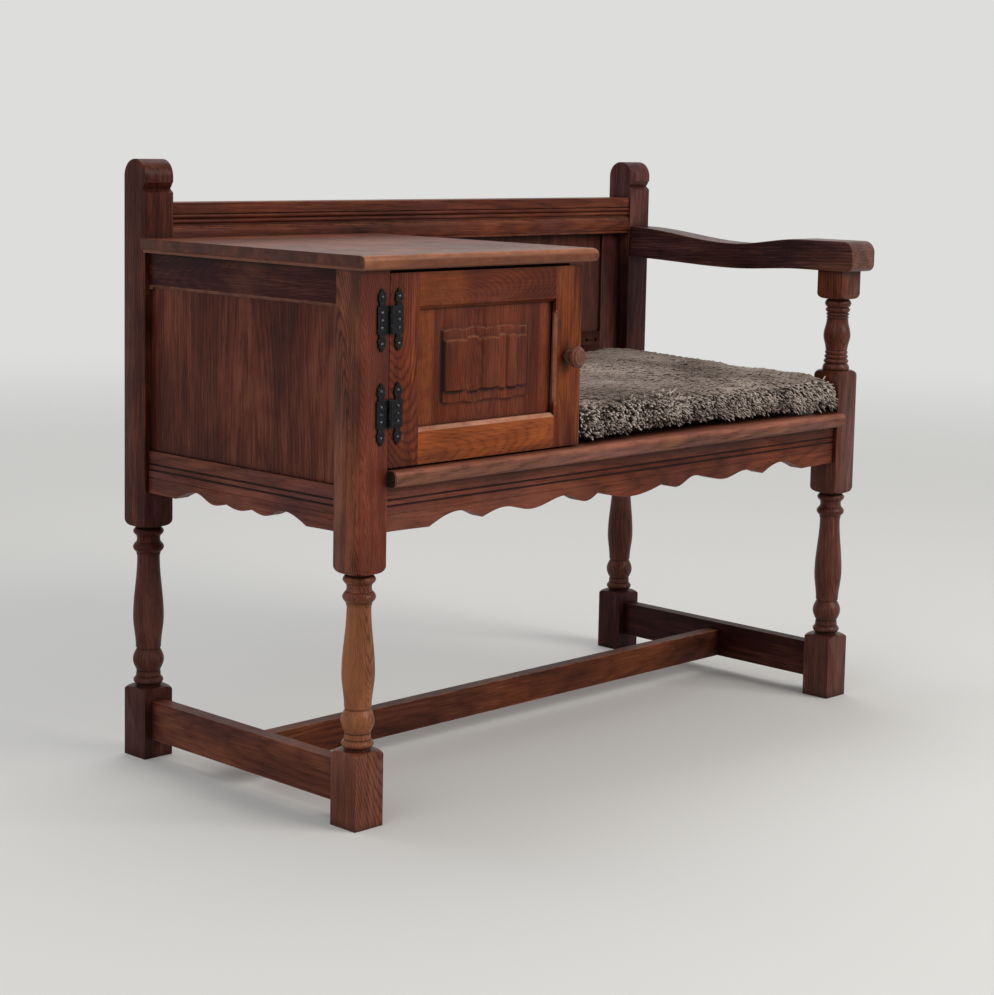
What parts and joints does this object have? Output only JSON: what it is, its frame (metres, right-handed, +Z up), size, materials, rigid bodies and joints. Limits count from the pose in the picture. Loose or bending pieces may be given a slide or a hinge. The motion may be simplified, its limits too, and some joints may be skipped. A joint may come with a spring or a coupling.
{
  "type": "telephone bench",
  "caption": "Carved oak telephone bench with a linenfold cupboard at the left, a shaggy seat pad, one arm and turned legs on an H stretcher.",
  "frame": {"origin": "on the floor under the middle of the whole bench, arm, knob and top included", "axes": "+X to the viewer's right along the width, +Y from the front to the back, +Z up"},
  "size_m": [1.0032, 0.48, 0.7869],
  "materials": {
    "frame_oak": "satin",
    "dark_oak": "satin",
    "door_oak": "satin",
    "pale_oak": "matte",
    "black_iron": "satin",
    "steel": "satin",
    "catch_plastic": "matte",
    "wool_pile": "matte"
  },
  "bodies": {
    "frame": {"front_left_post": "frame_oak", "front_right_post": "frame_oak", "back_left_post": "dark_oak", "back_right_post": "dark_oak", "left_stretcher": "frame_oak", "right_stretcher": "dark_oak", "centre_stretcher": "frame_oak", "front_apron": "frame_oak", "left_apron": "frame_oak", "right_apron": "dark_oak", "back_seat_rail": "dark_oak", "seat_board": "frame_oak", "seat_glue_blocks": "pale_oak", "seat_screws": "steel", "cupboard_left_top_rail": "frame_oak", "cupboard_left_panel": "frame_oak", "cupboard_right_front_stile": "frame_oak", "cupboard_right_back_stile": "frame_oak", "cupboard_right_low_rail": "frame_oak", "cupboard_right_top_rail": "frame_oak", "cupboard_right_panel": "frame_oak", "cupboard_front_rail": "frame_oak", "cupboard_top": "frame_oak", "top_cleats": "pale_oak", "top_screws": "steel", "upper_hinge_post_leaf": "black_iron", "lower_hinge_post_leaf": "black_iron", "hinge_pins": "steel", "post_hinge_studs": "black_iron", "magnetic_catch": "catch_plastic", "catch_screws": "steel", "back_top_rail": "frame_oak", "back_left_stile": "dark_oak", "back_right_stile": "dark_oak", "back_low_rail": "dark_oak", "back_panel": "dark_oak", "arm_rest": "frame_oak"},
    "door": {"door_hinge_stile": "door_oak", "door_lock_stile": "door_oak", "door_top_rail": "door_oak", "door_low_rail": "door_oak", "door_panel": "door_oak", "door_knob": "door_oak", "knob_screw": "steel", "upper_hinge_door_leaf": "black_iron", "lower_hinge_door_leaf": "black_iron", "door_hinge_studs": "black_iron", "catch_strike": "steel", "strike_screws": "steel"},
    "pad": {"seat_pad": "wool_pile"}
  },
  "joints": [
    {"name": "door_hinge", "type": "hinge", "parent": "frame", "child": "door", "pos_m": [-0.44862, -0.2204, 0.54875], "axis": [0, 0, -1], "range_deg": [0, 170]},
    {"name": "pad_lift", "type": "slide", "parent": "frame", "child": "pad", "axis": [0, 0, 1], "range_m": [0, 0.15]}
  ]
}
